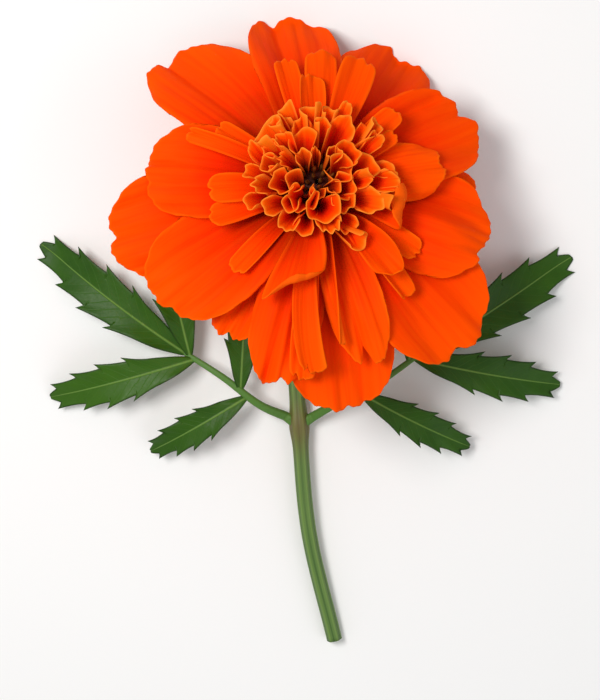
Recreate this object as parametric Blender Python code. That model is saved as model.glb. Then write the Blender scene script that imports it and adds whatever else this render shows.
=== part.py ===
"""One picked marigold flower, lying on a table with its face turned up.

The head leans back on the tips of its far petals. Its calyx runs down into a stem that
bends, reaches back along the table and ends in a plain cut. Two toothed leaves grow from
one joint of the stem and spread to both sides.

All sizes are in metres, +Z is up and the table is z = 0. The stem points along -Y from the
head. The origin is on the table, under the middle of the flower's footprint.
"""

import math
import random

import bmesh
import bpy
import numpy as np
from mathutils import Matrix, Vector

MM = 0.001
SEED = 11

# The head: its axis leans back from upright, away from the stem, and a little to the right.
HEAD_CENTRE = Vector((2.0, 30.0, 19.5)) * MM
HEAD_LEAN_BACK = 20.0
HEAD_LEAN_RIGHT = 10.0

# Petals are thinner than this in life. Solid blades need some body.
PETAL_THICKNESS = 0.6 * MM
LEAF_THICKNESS = 0.7 * MM
# A blade that reaches the table starts to level out this high above it.
TABLE_EASE = 1.2 * MM
SMOOTH_ANGLE = math.radians(35)

# Where the petals grow: a button of packed floret tubes, on a neck in the calyx's dish.
NECK_RADIUS = 4.8 * MM
NECK_DEPTH = 2.2 * MM
BUTTON_RADIUS = 7.4 * MM
BUTTON_BASE = 3.2 * MM
BUTTON_DOME = 7.4 * MM
BUTTON_SIDES = 16

# The broad outer petals: direction round the head in degrees, length and half width in mm,
# how high the petal lies over its neighbours, from 0 to 2, where across its end the cleft is
# and how deep, as shares, and how much further its left corner reaches than its right.
OUTER_PETALS = (
    (94, 38.7, 8.6, 1.2, 0.00, 0.03, 0.00),
    (130, 38.0, 9.6, 0.2, -0.35, 0.03, 0.06),
    (172, 27.3, 9.2, 1.7, 0.30, 0.03, 0.03),
    (193, 35.2, 10.0, 0.0, -0.10, 0.03, 0.00),
    (-145, 32.3, 9.6, 1.3, 0.30, 0.04, -0.02),
    (-123, 28.6, 5.8, 0.5, 0.10, 0.06, 0.00),
    (-104, 33.8, 6.4, 1.1, 0.20, 0.04, 0.00),
    (-84, 37.9, 10.4, 0.0, 0.12, 0.03, 0.02),
    (-47, 37.4, 11.4, 0.8, -0.20, 0.03, 0.00),
    (-19, 29.8, 10.0, 1.7, -0.30, 0.04, 0.00),
    (24, 30.0, 9.4, 2.0, 0.15, 0.05, -0.03),
    (56, 35.0, 9.4, 0.4, 0.75, 0.03, -0.03),
    (-2, 27.4, 7.6, 0.3, 0.00, 0.04, 0.00),
)
# The angles at which they leave the button and end, and how much further the ones on the
# far side of the head hang, all in degrees.
OUTER_LIFT = 34.0
OUTER_FALL = -17.0
FAR_DROOP = 34.0
OUTER_ROOT = (4.6 * MM, 1.6 * MM)

# The second ring, shorter petals that fold and curl: direction, length, half width, the
# angles at which the petal leaves and ends, how early it bends, how far its sides fold up at
# its end, how far it rolls over onto one side and how far its end sways to the left, all in
# degrees or mm. One that bends late and ends past 90 degrees curls over and shows its back.
INNER_PETALS = (
    (101, 21.0, 2.3, 44, -12, 2.0, 16, 0, 0.0),
    (94, 16.6, 3.0, 48, -6, 2.0, 58, 18, 0.0),
    (85, 22.3, 3.1, 44, -12, 2.0, 18, 0, 0.0),
    (68, 22.3, 3.5, 46, -8, 2.0, 22, 0, 0.0),
    (38, 17.1, 2.6, 52, 6, 2.0, 50, -12, 0.0),
    (30, 14.2, 1.9, 50, 22, 2.0, 66, 10, 0.0),
    (7, 20.0, 5.6, 46, -4, 2.0, 14, 0, 0.0),
    (-24, 13.8, 3.6, 62, 30, 2.0, 34, 0, 0.0),
    (-35, 17.7, 2.6, 40, 0, 2.0, 30, 0, 0.0),
    (-62, 18.0, 3.6, 56, 40, 1.0, 120, 0, 0.0),
    (-48, 19.5, 2.8, 48, 20, 1.0, 80, 14, 0.0),
    (-56, 21.5, 2.6, 34, 4, 2.0, 86, -10, 0.0),
    (-81, 30.5, 2.8, 42, -14, 2.0, 20, 0, 0.0),
    (-71, 28.6, 4.0, 42, -14, 2.0, 16, 0, 0.0),
    (-79, 25.8, 1.5, 42, -12, 2.0, 30, 64, 0.4),
    (-98, 30.4, 3.5, 38, -14, 2.0, 22, -6, 3.0),
    (-99, 32.0, 2.4, 34, -14, 2.0, 16, 0, 1.5),
    (-115, 21.0, 5.4, 6, 165, 0.5, 16, 0, 0.0),
    (-132, 17.6, 2.4, 44, 8, 2.0, 62, 14, 0.0),
    (198, 17.2, 2.4, 44, 8, 2.0, 28, 0, 0.0),
    (184, 16.5, 2.9, 46, 8, 2.0, 28, 0, 0.0),
    (149, 17.3, 2.0, 50, 4, 2.0, 36, 0, 0.0),
    (153, 21.6, 1.8, 46, -2, 2.0, 44, -24, 0.0),
)
INNER_ROOT = (5.0 * MM, 3.8 * MM)
# A petal narrower than this, from its middle to its side, needs fewer points.
NARROW = 2.5 * MM

# The crest. The large florets: direction, distance of the lip from the axis and half width
# of the lip in mm, how far the lip wraps round to each side, and how far the floret is
# turned about its own length, in degrees.
LARGE_FLORETS = (
    (-123, 7.7, 2.9, 150, 20),
    (-92, 8.4, 3.3, 150, 0),
    (4, 5.4, 2.8, 158, -14),
    (-28, 6.6, 2.7, 140, 15),
    (-58, 8.2, 2.3, 120, -16),
    (118, 8.8, 3.0, 118, 0),
    (107, 12.4, 2.4, 60, 10),
    (86, 9.2, 1.6, 150, 0),
    (58, 5.4, 1.5, 150, 12),
    (64, 11.9, 2.9, 66, -8),
    (79, 13.4, 1.5, 150, 0),
    (30, 13.4, 1.6, 110, 24),
    (45, 13.4, 1.8, 120, -22),
    (10, 11.0, 2.6, 158, 0),
    (36, 8.4, 2.6, 130, 0),
    (152, 11.4, 1.7, 150, 0),
    (169, 11.2, 1.9, 150, 24),
    (177, 13.6, 1.5, 130, -18),
    (190, 12.6, 2.1, 68, 0),
    (194, 9.2, 2.4, 124, 10),
    (154, 7.6, 1.9, 62, 30),
    (196, 5.8, 2.1, 130, 0),
    (213, 11.8, 2.0, 100, -24),
    (224, 8.8, 1.7, 140, 14),
    (234, 12.4, 2.0, 100, 10),
    (-63, 11.8, 1.9, 120, 0),
    (-30, 13.2, 3.0, 60, 0),
    (-6, 13.4, 2.4, 90, -12),
    (-104, 4.6, 1.5, 140, 0),
    (-46, 3.6, 1.3, 158, 30),
    (132, 5.4, 1.6, 130, -20),
    (-84, 12.8, 2.4, 64, 8),
    (-110, 11.6, 2.0, 120, -14),
    (138, 14.2, 3.3, 155, 0),
    (136, 9.4, 1.8, 120, 16),
)
# The small florets between them, set by the golden angle.
CREST_FLORETS = 54
GOLDEN_ANGLE = 137.508
CREST_REACH = 16.5 * MM
CREST_LENGTH = (5.8 * MM, 13.0 * MM)
CREST_HALF_WIDTH = (1.2 * MM, 1.9 * MM)
CREST_CLEAR = 3.3 * MM
EYE_RADIUS = 3.9 * MM
CREST_EDGE = 78.0
CREST_ROOT_DEPTH = 1.2 * MM

# The calyx, down the head's axis from the plane where the petals leave it.
CALYX_LENGTH = 13.0 * MM
CALYX_RADIUS = 6.3 * MM
CALYX_FOOT_RADIUS = 2.4 * MM
CALYX_BRACTS = 8
CALYX_RIB = 0.035
CALYX_TOOTH = (-0.9 * MM, 0.7 * MM)
CALYX_WIDEST = 0.72
DISH_DEPTH = 2.5 * MM
SEAT_GAP = 0.3 * MM

# The stem.
STEM_RADIUS = 1.45 * MM
STEM_NECK_RADIUS = 2.25 * MM
STEM_NECK_TAPER = 9.0 * MM
STEM_RIBS = 6
STEM_RIB = 0.05
STEM_TOP_STRAIGHT = 1.4 * MM
LEAF_JOINT = Vector((-1.0, -17.0, 2.9)) * MM
JOINT_SWELL = 0.45 * MM
# Where the stem goes, in mm: the bend under the head, the stretch that lies down, its end.
STEM_BEND = ((-0.3, 22.9, 3.6), (-0.8, 18.6, 2.3), (-1.3, 12.0, 1.9), (-1.9, -2.0, 2.1))
STEM_TAIL = ((0.8, -38.0, 2.7), (6.0, -61.0, 1.5))

# The leaves: heading of the leaf stalk in degrees from +X, and its length.
LEAVES = {
    "leaf_left": (147.0, 27.0 * MM),
    "leaf_right": (32.0, 28.0 * MM),
}
LEAF_STALK_RADIUS = 0.75 * MM
LEAF_STALK_START = 3.2 * MM
# Leaflets: share of the stalk's length, angle from the stalk, length and half width in mm.
LEAFLETS = (
    (0.46, 60, 24.0, 3.5),
    (0.52, -62, 24.5, 3.6),
    (0.90, 46, 31.0, 4.3),
    (0.94, -47, 30.5, 4.3),
    (0.97, -2, 38.0, 4.9),
)
LEAFLET_TEETH = 4
LEAFLET_LIFT = 14.0
LEAFLET_FALL = (-36.0, -30.0)


def material(name, colour, roughness):
    """A plain finish: a Principled BSDF in one colour."""
    made = bpy.data.materials.new(name)
    made.use_nodes = True
    shader = made.node_tree.nodes["Principled BSDF"]
    shader.inputs["Base Color"].default_value = (*colour, 1.0)
    shader.inputs["Roughness"].default_value = roughness
    return made


def mesh_object(name, points, faces, finish, collection=None):
    """A mesh object from points and faces, linked to the scene or to a collection."""
    mesh = bpy.data.meshes.new(name)
    mesh.from_pydata([tuple(p) for p in points], [], [tuple(map(int, f)) for f in faces])
    mesh.materials.append(finish)
    made = bpy.data.objects.new(name, mesh)
    (collection or bpy.context.scene.collection).objects.link(made)
    return made


def clear_scene():
    """Removes whatever objects the file holds."""
    for old in list(bpy.data.objects):
        bpy.data.objects.remove(old)


def head_matrix():
    """From the head's own frame, with its axis along +Z, to the table's."""
    back = Matrix.Rotation(math.radians(-HEAD_LEAN_BACK), 4, "X")
    right = Matrix.Rotation(math.radians(HEAD_LEAN_RIGHT), 4, "Y")
    return Matrix.Translation(HEAD_CENTRE) @ right @ back


def placed(points, matrix):
    """An array of points, moved by a matrix."""
    turn = np.array(matrix)[:3, :3]
    return points @ turn.T + np.array(matrix)[:3, 3]


def settled(points, thickness):
    """Points that would sink into the table are eased up until the sheet lies on it."""
    floor = thickness / 2
    above = points[..., 2] - floor
    eased = (above + TABLE_EASE) ** 2 / (4 * TABLE_EASE)
    height = np.where(above > TABLE_EASE, above, np.where(above < -TABLE_EASE, 0.0, eased))
    lying = points.copy()
    lying[..., 2] = floor + height
    return lying


def blade(share, across, half_width, length, bend, fold, ruffle):
    """Middle surface of a petal or leaflet, root at the origin, pointing along +X.

    Its centre line leaves at the angle lift above the XY plane and turns to the angle fall,
    sooner where ease is high. Across it is an arc that turns through the angle fold on each
    side. share says how far along the length each point lies and across runs -1 to 1.
    half_width and fold have a value for each row, and ruffle is the height of the waves.
    """
    lift, fall, ease = bend
    steps = np.linspace(0.0, 1.1, 45)
    angles = np.radians(fall + (lift - fall) * np.clip(1 - steps, 0, 1) ** ease)
    middle = (angles[1:] + angles[:-1]) / 2
    run = np.concatenate([[0.0], np.cumsum(np.cos(middle))]) * length / 40
    rise = np.concatenate([[0.0], np.cumsum(np.sin(middle))]) * length / 40

    slope = np.interp(share, steps, angles)
    turn = np.radians(fold)[:, None] * across[None, :]
    bend_radius = (half_width / np.radians(fold))[:, None]
    off = bend_radius * (1 - np.cos(turn)) + ruffle
    return np.stack(
        [
            np.interp(share, steps, run) - off * np.sin(slope),
            bend_radius * np.sin(turn),
            np.interp(share, steps, rise) + off * np.cos(slope),
        ],
        axis=-1,
    )


def turned_out(points, azimuth, radius, height):
    """Points of a blade, turned round the Z axis and set out on a circle about it."""
    turn = Matrix.Rotation(math.radians(azimuth), 4, "Z")
    return placed(points, turn @ Matrix.Translation((radius, 0.0, height)))


def petal_shape(length, half_width, bend, cleft_at, cleft_depth, skew, draw):
    """A broad petal: narrow at its root, wide and round at its end, with a waved, cleft margin."""
    phase = draw.uniform(0, 2 * math.pi)
    along = np.array([0.0, 0.20, 0.48, 0.78, 1.0])
    across = np.sin(np.pi / 2 * np.linspace(-1.0, 1.0, 9) * 0.92) / math.sin(np.pi / 2 * 0.92)
    claw = 1.9 * MM / half_width
    width = half_width * (claw + (1 - claw) * np.sin(np.pi / 2 * along / 0.86) ** 0.95)
    cleft = cleft_depth * np.exp(-(((across - cleft_at) / 0.2) ** 2))
    rounding = 0.31 * (1 - np.sqrt(1 - across**2)) - skew * across
    reach = 1 - rounding - cleft - 0.012 * np.cos(9 * across + phase)
    wave = np.sin(2.0 * np.pi * across + phase)[None, :] * along[:, None] ** 1.5
    ripple = np.sin(6 * along + 2 * phase)[:, None] * np.abs(across)[None, :] ** 2
    ruffle = (0.06 * wave + 0.06 * ripple) * half_width
    fold = 9 + 24 * (1 - along)
    share = along[:, None] * reach[None, :]
    return blade(share, across, width, length, bend, fold, ruffle)


def inner_petal_shape(length, half_width, bend, end_fold, draw):
    """A petal of the second ring: a blunt strap with fewer points, and more channelled."""
    phase = draw.uniform(0, 2 * math.pi)
    along = np.array([0.0, 0.36, 0.72, 1.0])
    across = np.linspace(-1.0, 1.0, 5 if half_width > NARROW else 3)
    claw = 1.3 * MM / half_width
    width = half_width * (claw + (1 - claw) * np.sin(np.pi / 2 * (along / 0.87) ** 1.4))
    rounding = (0.80 * half_width / length) * (1 - np.sqrt(1 - across**2))
    reach = 1 - rounding - 0.02 * np.cos(7 * across + phase)
    ruffle = 0.10 * half_width * np.sin(4 * across + phase)[None, :] * along[:, None]
    fold = between((52.0, end_fold), along)
    share = along[:, None] * reach[None, :]
    return blade(share, across, width, length, bend, fold, ruffle)


def floret_shape(length, half_width, opened, bend, draw):
    """A crest floret: a channelled strap that opens to a blunt, notched lip."""
    phase = draw.uniform(0, 2 * math.pi)
    along = np.array([0.0, 0.40, 0.74, 1.0])
    across = np.array([-1.0, 0.0, 1.0])
    width = half_width * (0.50 + 0.65 * np.sin(np.pi / 2 * along / 0.95))
    reach = 1 - 0.08 * np.abs(across) - 0.06 * np.cos(3 * across + phase) ** 2
    ruffle = np.zeros((len(along), len(across)))
    fold = between((72.0, min(opened, 84.0)), along)
    share = along[:, None] * reach[None, :]
    return blade(share, across, width, length, bend, fold, ruffle)


def crest_places(draw):
    """Yields direction, lip distance, half width, wrap and turn for every crest floret."""
    lips = []
    for azimuth, distance, half_width, opened, turn in LARGE_FLORETS:
        around = math.radians(azimuth)
        lips.append(Vector((math.cos(around), math.sin(around))) * distance * MM)
        yield azimuth, distance * MM, half_width * MM, opened, turn
    for n in range(CREST_FLORETS):
        azimuth = n * GOLDEN_ANGLE + draw.uniform(-12, 12)
        out = math.sqrt((n + 0.5) / CREST_FLORETS)
        distance = CREST_REACH * out**1.15
        half_width = between(CREST_HALF_WIDTH, out) * draw.uniform(0.8, 1.2)
        opened, turn = draw.uniform(90, 155), draw.uniform(-35, 35)
        around = math.radians(azimuth)
        lip = Vector((math.cos(around), math.sin(around))) * distance
        clear = min((lip - other).length for other in lips)
        if clear > CREST_CLEAR and distance > EYE_RADIUS:
            lips.append(lip)
            yield azimuth, distance, half_width, opened, turn


def far_droop(azimuth):
    """How many degrees further a petal hangs, the more it points away from the stem."""
    return FAR_DROOP * max(0.0, math.sin(math.radians(azimuth))) ** 1.5


def between(ends, share):
    """The value at a share of the way from the first of two ends to the second."""
    return ends[0] + (ends[1] - ends[0]) * share


def head_blades():
    """The sheets of the head in the head's own frame, from the outer petals to the crest's eye."""
    draw = random.Random(SEED)
    fine = random.Random(SEED + 1)
    sheets = []
    for azimuth, length, half_width, level, *end in OUTER_PETALS:
        bend = (OUTER_LIFT, OUTER_FALL + 5 * level - far_droop(azimuth), 2.2)
        points = petal_shape(length * MM, half_width * MM, bend, *end, fine)
        radius, height = OUTER_ROOT
        sheets.append(turned_out(points, azimuth, radius, height + 0.7 * level * MM))
    for azimuth, length, half_width, *bend, end_fold, roll, sway in INNER_PETALS:
        points = inner_petal_shape(length * MM, half_width * MM, bend, end_fold, fine)
        points[..., 1] += sway * MM * np.linspace(0, 1, len(points))[:, None] ** 2
        points = placed(points, Matrix.Rotation(math.radians(roll), 4, "X"))
        sheets.append(turned_out(points, azimuth, *INNER_ROOT))
    for azimuth, distance, half_width, opened, turn in crest_places(draw):
        out = (distance / CREST_REACH) ** 0.87
        length = between(CREST_LENGTH, out) * draw.uniform(0.90, 1.12)
        lift = math.radians(90 - 38 * out)
        bend = (90 - 38 * out, 78 - 58 * out**1.4 + draw.uniform(-12, 12), 0.8)
        points = floret_shape(length, half_width, opened, bend, fine)
        steep = Vector((math.cos(lift), 0.0, math.sin(lift)))
        points = placed(points, Matrix.Rotation(math.radians(turn), 4, steep))
        polar = math.radians(CREST_EDGE * out)
        radius = (BUTTON_RADIUS - CREST_ROOT_DEPTH) * math.sin(polar)
        height = BUTTON_BASE + (BUTTON_DOME - CREST_ROOT_DEPTH) * math.cos(polar)
        sheets.append(turned_out(points, azimuth, radius, height))
    return sheets


def sheet_object(name, points, thickness, finish, collection):
    """A grid of points as a closed blade. Both faces are split into the same triangles."""
    rows, columns = points.shape[:2]
    corner = np.arange(rows * columns).reshape(rows, columns)
    a, b = corner[:-1, :-1].ravel(), corner[1:, :-1].ravel()
    c, d = corner[1:, 1:].ravel(), corner[:-1, 1:].ravel()
    faces = np.concatenate([np.stack([a, b, c], 1), np.stack([a, c, d], 1)])
    made = mesh_object(name, points.reshape(-1, 3), faces, finish, collection)
    solidify = made.modifiers.new("Thickness", "SOLIDIFY")
    solidify.thickness = thickness
    solidify.offset = 0.0
    return made


def outer_skin(mesh):
    """Keeps the largest shell of a mesh and drops the small voids shut in under it."""
    shape = bmesh.new()
    shape.from_mesh(mesh)
    waiting = set(shape.verts)
    shells = []
    while waiting:
        shell = {waiting.pop()}
        edge = list(shell)
        while edge:
            found = {e.other_vert(v) for v in edge for e in v.link_edges} - shell
            shell |= found
            edge = list(found)
        waiting -= shell
        shells.append(shell)
    largest = max(shells, key=len)
    inner = [v for v in shape.verts if v not in largest]
    bmesh.ops.delete(shape, geom=inner, context="VERTS")
    shape.to_mesh(mesh)
    shape.free()


def fuse(core, collection):
    """Joins everything in the collection to core, as one closed mesh, and clears the collection."""
    union = core.modifiers.new("Join", "BOOLEAN")
    union.operation = "UNION"
    union.solver = "MANIFOLD"
    union.operand_type = "COLLECTION"
    union.collection = collection
    graph = bpy.context.evaluated_depsgraph_get()
    joined = bpy.data.meshes.new_from_object(core.evaluated_get(graph))
    outer_skin(joined)
    core.modifiers.clear()
    core.data = joined
    for used in list(collection.objects):
        bpy.data.objects.remove(used)
    bpy.data.collections.remove(collection)
    return core


def lathe(profile, sides, matrix):
    """Points and faces of a turned solid. profile runs up the axis as (radius, height) pairs."""
    angles = np.linspace(0, 2 * np.pi, sides, endpoint=False)
    rings = [
        np.stack([r * np.cos(angles), r * np.sin(angles), np.full(sides, h)], axis=1)
        for r, h in profile
    ]
    return placed(np.concatenate(rings), matrix), ring_faces(len(profile), sides)


def ring_faces(rings, sides):
    """Triangles that join rings of points, bottom ring first, with both ends closed."""
    faces = []
    for ring in range(rings - 1):
        for side in range(sides):
            following = (side + 1) % sides
            low, low_next = ring * sides + side, ring * sides + following
            faces.append((low, low_next, low_next + sides))
            faces.append((low, low_next + sides, low + sides))
    for side in range(1, sides - 1):
        top = (rings - 1) * sides
        faces.append((0, side + 1, side))
        faces.append((top, top + side, top + side + 1))
    return faces


def make_bloom(finish):
    """Outer petals, second ring and crest, fused to the button that they grow from."""
    matrix = head_matrix()
    profile = [
        (NECK_RADIUS - 0.5 * MM, -NECK_DEPTH),
        (NECK_RADIUS, -0.5 * NECK_DEPTH),
        (NECK_RADIUS, 1.1 * MM),
    ]
    for polar in (104, 78, 56, 36, 18, 4):
        out = math.radians(polar)
        height = BUTTON_BASE + BUTTON_DOME * math.cos(out)
        profile.append((BUTTON_RADIUS * math.sin(out), height))
    core = mesh_object("bloom", *lathe(profile, BUTTON_SIDES, matrix), finish)
    blades = bpy.data.collections.new("bloom_blades")
    bpy.context.scene.collection.children.link(blades)
    for n, points in enumerate(head_blades()):
        lying = settled(placed(points, matrix), PETAL_THICKNESS)
        sheet_object(f"blade_{n}", lying, PETAL_THICKNESS, finish, blades)
    return fuse(core, blades)


def make_calyx(finish):
    """A cup of bracts grown together: ribbed outside, toothed at the rim, with a shallow dish."""
    sides = 4 * CALYX_BRACTS
    angles = np.linspace(0, 2 * np.pi, sides, endpoint=False)
    ribs = 1 + CALYX_RIB * np.cos(CALYX_BRACTS * angles)
    tooth = between(CALYX_TOOTH, 0.5 + 0.5 * np.cos(CALYX_BRACTS * angles))
    inside = NECK_RADIUS + SEAT_GAP
    rings = []
    for share in (0.0, 0.08, 0.22, 0.42, 0.64, 0.84):
        swell = math.sin(math.pi / 2 * min(1.0, share / CALYX_WIDEST)) ** 0.8
        radius = between((CALYX_FOOT_RADIUS, CALYX_RADIUS), swell)
        even = 1 if share == 0 else ribs
        rings.append((radius * even, -CALYX_LENGTH * (1 - share)))
    rings.append((CALYX_RADIUS * 0.985 * ribs, tooth))
    rings.append((inside, tooth - 0.1 * MM))
    rings.append((inside, -0.6 * DISH_DEPTH))
    rings.append((inside - 0.5 * MM, -DISH_DEPTH))
    round_the_axis = np.stack([np.cos(angles), np.sin(angles)], axis=1)
    points = []
    for radius, height in rings:
        wide = np.broadcast_to(radius, sides)[:, None] * round_the_axis
        points.append(np.column_stack([wide, np.broadcast_to(height, sides)]))
    cup = placed(np.concatenate(points), head_matrix())
    return mesh_object("calyx", cup, ring_faces(len(rings), sides), finish)


def smooth_path(knots, steps):
    """Points on a smooth curve through the knots, steps of them to each span."""
    knots = np.array(knots)
    spans = np.linalg.norm(np.diff(knots, axis=0), axis=1)
    slopes = np.gradient(knots, np.concatenate([[0.0], np.cumsum(spans)]), axis=0)
    found = []
    for n, span in enumerate(spans):
        for t in np.arange(steps) / steps:
            found.append(
                knots[n] * (1 + 2 * t) * (1 - t) ** 2
                + slopes[n] * span * t * (1 - t) ** 2
                + knots[n + 1] * t**2 * (3 - 2 * t)
                - slopes[n + 1] * span * t**2 * (1 - t)
            )
    return np.array([*found, knots[-1]])


def tube(path, radii, sides, ribs=0, rib_height=0.0):
    """Points and faces of a tube along a path, with raised ribs if asked for."""
    tangents = np.gradient(path, axis=0)
    tangents /= np.linalg.norm(tangents, axis=1)[:, None]
    beside = np.cross(tangents, (0.0, 0.0, 1.0))
    beside /= np.linalg.norm(beside, axis=1)[:, None]
    above = np.cross(beside, tangents)
    angles = np.linspace(0, 2 * np.pi, sides, endpoint=False)
    swell = 1 + rib_height * np.cos(ribs * angles)
    rings = [
        at + r * (np.outer(swell * np.cos(angles), b) + np.outer(swell * np.sin(angles), u))
        for at, r, b, u in zip(path, radii, beside, above)
    ]
    faces = [tuple(reversed(face)) for face in ring_faces(len(path), sides)]
    return np.concatenate(rings), faces


def stem_path():
    """The stem's centre line, from under the calyx to its cut end."""
    down = -(head_matrix().to_3x3() @ Vector((0.0, 0.0, 1.0)))
    top = HEAD_CENTRE + down * (CALYX_LENGTH + SEAT_GAP)
    bend = [Vector(point) * MM for point in STEM_BEND]
    tail = [Vector(point) * MM for point in STEM_TAIL]
    knots = [top, top + down * STEM_TOP_STRAIGHT, *bend, LEAF_JOINT, *tail]
    return smooth_path(knots, 5)


def make_stem(finish):
    """The ribbed stem: widest under the calyx, swollen at the leaf joint, cut square."""
    path = stem_path()
    from_top = np.linalg.norm(path - path[0], axis=1)
    from_joint = np.linalg.norm(path - np.array(LEAF_JOINT), axis=1)
    radii = (
        STEM_RADIUS
        + (STEM_NECK_RADIUS - STEM_RADIUS) * np.exp(-((from_top / STEM_NECK_TAPER) ** 2))
        + JOINT_SWELL * np.exp(-((from_joint / (3 * MM)) ** 2))
    )
    radii[-1] = STEM_RADIUS
    points, faces = tube(path, radii, 2 * STEM_RIBS, STEM_RIBS, STEM_RIB)
    return mesh_object("stem", points, faces, finish)


def leaflet_shape(length, half_width, lift, fall):
    """A leaflet: entire near its foot, then sharp teeth that point forward, folded on its rib."""
    notches = np.linspace(0.40, 0.92, LEAFLET_TEETH)
    teeth = notches - 0.02
    along = np.sort(np.concatenate([[0.0, 0.12, 0.26], notches, teeth, [1.0]]))
    toothed = np.isin(along, teeth)
    across = np.array([-1.0, -0.5, 0.0, 0.5, 1.0])
    margin = np.abs(across)[None, :] ** 3
    form = 0.12 + 0.88 * np.sin(np.pi * along**1.05) ** 0.8
    width = half_width * np.where(toothed, 0.84 * form + 0.26, 0.84 * form)
    width[-1] = 0.5 * MM
    share = along[:, None] + np.where(toothed, 0.055, 0.0)[:, None] * margin
    fold = np.full(len(along), 8.0)
    keel = 0.14 * width[:, None] * np.abs(across)[None, :]
    sway = 0.012 * length * np.sin(2 * np.pi * along)[:, None] * across[None, :]
    return blade(share, across, width, length, (lift, fall, 1.0), fold, keel + sway)


def stalk_path(heading, length):
    """A leaf stalk's centre line: up and out from the stem's joint, then level."""
    turn = Matrix.Rotation(math.radians(heading), 4, "Z")
    knots = [
        Vector((LEAF_STALK_START, 0.0, 0.0)),
        Vector((0.30 * length, 0.3 * MM, 2.8 * MM)),
        Vector((0.66 * length, -0.4 * MM, 3.4 * MM)),
        Vector((length, 0.0, 1.6 * MM)),
    ]
    return smooth_path([LEAF_JOINT + turn @ k for k in knots], 4)


def make_leaf(name, finish):
    """A leaf: its stalk, with toothed leaflets fused to it in pairs and one at the end."""
    heading, length = LEAVES[name]
    path = stalk_path(heading, length)
    radii = LEAF_STALK_RADIUS * np.linspace(1.25, 0.7, len(path))
    core = mesh_object(name, *tube(path, radii, 8), finish)
    blades = bpy.data.collections.new(name + "_leaflets")
    bpy.context.scene.collection.children.link(blades)
    shares = np.linspace(0.0, 1.0, len(path))
    draw = random.Random(heading)
    for n, (share, angle, reach, half_width) in enumerate(LEAFLETS):
        root = [np.interp(share, shares, path[:, k]) for k in range(3)]
        length = reach * draw.uniform(0.93, 1.05) * MM
        fall = draw.uniform(*LEAFLET_FALL)
        points = leaflet_shape(length, half_width * MM, LEAFLET_LIFT, fall)
        heading_out = heading + angle + draw.uniform(-5, 5)
        turn = Matrix.Rotation(math.radians(heading_out), 4, "Z")
        points = placed(points, Matrix.Translation(root) @ turn)
        lying = settled(points, LEAF_THICKNESS)
        sheet_object(f"{name}_leaflet_{n}", lying, LEAF_THICKNESS, finish, blades)
    return fuse(core, blades)


def main():
    clear_scene()
    orange = material("petal_orange", (1.0, 0.14, 0.005), 0.55)
    calyx_green = material("calyx_green", (0.14, 0.20, 0.04), 0.5)
    stem_green = material("stem_green", (0.12, 0.22, 0.04), 0.5)
    leaf_green = material("leaf_green", (0.03, 0.12, 0.015), 0.5)
    make_bloom(orange)
    make_calyx(calyx_green)
    make_stem(stem_green)
    for name in LEAVES:
        make_leaf(name, leaf_green)
    for piece in bpy.context.scene.objects:
        piece.data.shade_smooth()
        piece.data.set_sharp_from_angle(angle=SMOOTH_ANGLE)


main()
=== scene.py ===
"""Looks for the picked marigold flower: fine petals, florets, leaves, cup and stem.

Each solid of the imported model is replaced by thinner, finer pieces on the same lines. All
sizes are in metres, in the model's own frame: the table is z = 0, the face of the flower is
turned up, and the stem points along -Y from the head.
"""

import random

import bpy
import numpy as np
from mathutils import Matrix, Vector
from numpy import cos, pi, radians, sin, sqrt


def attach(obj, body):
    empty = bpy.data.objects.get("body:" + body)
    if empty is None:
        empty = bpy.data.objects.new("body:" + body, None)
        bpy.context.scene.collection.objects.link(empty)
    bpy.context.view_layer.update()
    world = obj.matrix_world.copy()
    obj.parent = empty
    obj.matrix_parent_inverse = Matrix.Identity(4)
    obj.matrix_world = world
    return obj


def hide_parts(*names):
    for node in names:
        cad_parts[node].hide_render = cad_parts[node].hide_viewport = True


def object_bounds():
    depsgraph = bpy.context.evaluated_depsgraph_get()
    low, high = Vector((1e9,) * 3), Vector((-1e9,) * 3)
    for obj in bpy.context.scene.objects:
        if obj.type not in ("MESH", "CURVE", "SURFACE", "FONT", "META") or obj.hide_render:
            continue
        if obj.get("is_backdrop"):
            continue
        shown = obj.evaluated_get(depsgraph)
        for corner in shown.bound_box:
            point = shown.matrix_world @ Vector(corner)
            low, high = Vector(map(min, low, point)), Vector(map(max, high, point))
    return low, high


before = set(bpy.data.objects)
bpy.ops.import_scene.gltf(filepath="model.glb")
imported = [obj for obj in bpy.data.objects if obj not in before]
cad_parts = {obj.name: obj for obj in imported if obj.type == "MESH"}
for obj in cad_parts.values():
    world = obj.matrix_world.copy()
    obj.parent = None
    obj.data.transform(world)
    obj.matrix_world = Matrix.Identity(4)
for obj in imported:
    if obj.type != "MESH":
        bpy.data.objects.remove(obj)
model_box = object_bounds()

MM = 0.001
SEED = 11

# The head: its axis leans back from upright, away from the stem, and a little to the right.
HEAD_CENTRE = Vector((2.0, 30.0, 19.5)) * MM
HEAD_LEAN_BACK = 20.0
HEAD_LEAN_RIGHT = 10.0
TABLE_EASE = 1.2 * MM

PETAL_THICKNESS = 0.32 * MM
FLORET_THICKNESS = 0.26 * MM
LEAF_THICKNESS = 0.36 * MM
# How far a petal lies over another, middle to middle.
PETAL_GAP = 0.6 * MM
# The net that keeps the pile's height: its cell, its cells to a side, over how many points
# each way a lift is spread, and the radii where petals stop growing together and come free.
PILE_CELL = 0.4 * MM
PILE_CELLS = 240
PILE_REACH = 5
PILE_FREE = (8 * MM, 12 * MM)

# Points along and across the middle surface of each kind of blade.
PETAL_GRID = (54, 55)
STRAP_GRID = (36, 23)
FLORET_GRID = (22, 33)
LEAFLET_GRID = (84, 25)
# A blade grows from its margin to its full thickness over this distance.
RIM_DEPTH = 0.3 * MM

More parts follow.
